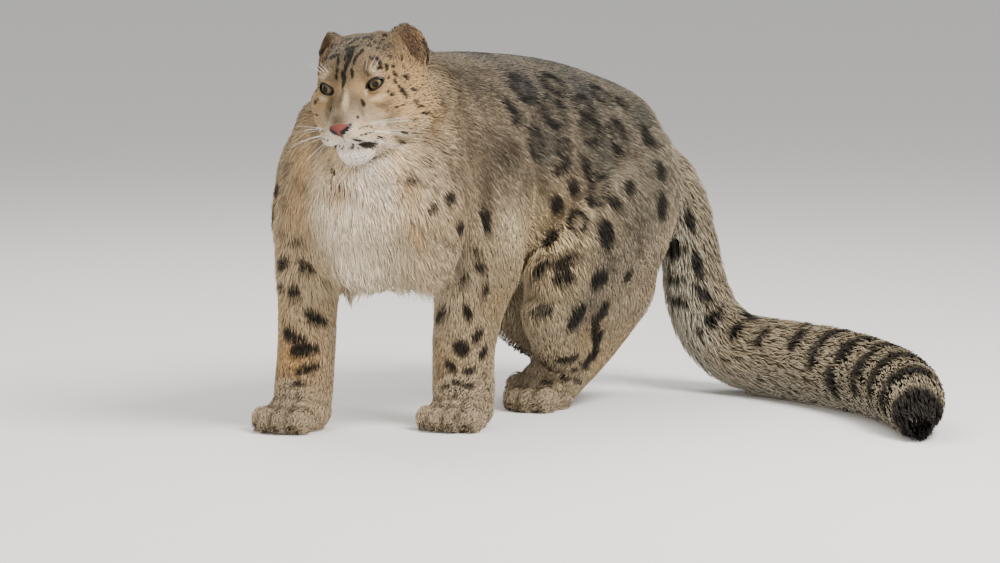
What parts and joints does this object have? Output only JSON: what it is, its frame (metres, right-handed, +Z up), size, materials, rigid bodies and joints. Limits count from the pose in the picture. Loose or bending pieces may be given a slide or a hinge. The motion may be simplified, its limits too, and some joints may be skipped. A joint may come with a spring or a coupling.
{
  "type": "standing snow leopard model",
  "caption": "Life-size snow leopard standing with its hindquarters lowered, head turned to its left, long thick tail laid on the ground.",
  "frame": {"origin": "middle of the animal's bounding box, on the floor that the paws stand on", "axes": "+Z up; the animal's trunk runs along Y with the head towards -Y; its left side is towards +X"},
  "size_m": [0.8958, 0.9676, 0.6069],
  "materials": {
    "coat": "soft fur, grey-tan with dark rosettes",
    "bib_coat": "soft long fur, cream and tan",
    "tail_coat": "soft long fur, grey-tan with dark bands",
    "eye": "glossy, grey-gold iris with a round dark pupil"
  },
  "bodies": {
    "root": {"chest": "bib_coat", "ear_left": "coat", "ear_right": "coat", "eye_left": "eye", "eye_right": "eye", "forearm_left": "coat", "forearm_right": "coat", "forepaw_left": "coat", "forepaw_right": "coat", "head": "coat", "hind_paw_left": "coat", "hind_paw_right": "coat", "hips": "coat", "loin": "coat", "neck": "bib_coat", "shank_left": "coat", "shank_right": "coat", "tail_1": "tail_coat", "tail_2": "tail_coat", "tail_3": "tail_coat", "tail_4": "tail_coat", "tail_5": "tail_coat", "thigh_left": "coat", "thigh_right": "coat", "upper_arm_left": "coat", "upper_arm_right": "coat"}
  },
  "joints": []
}
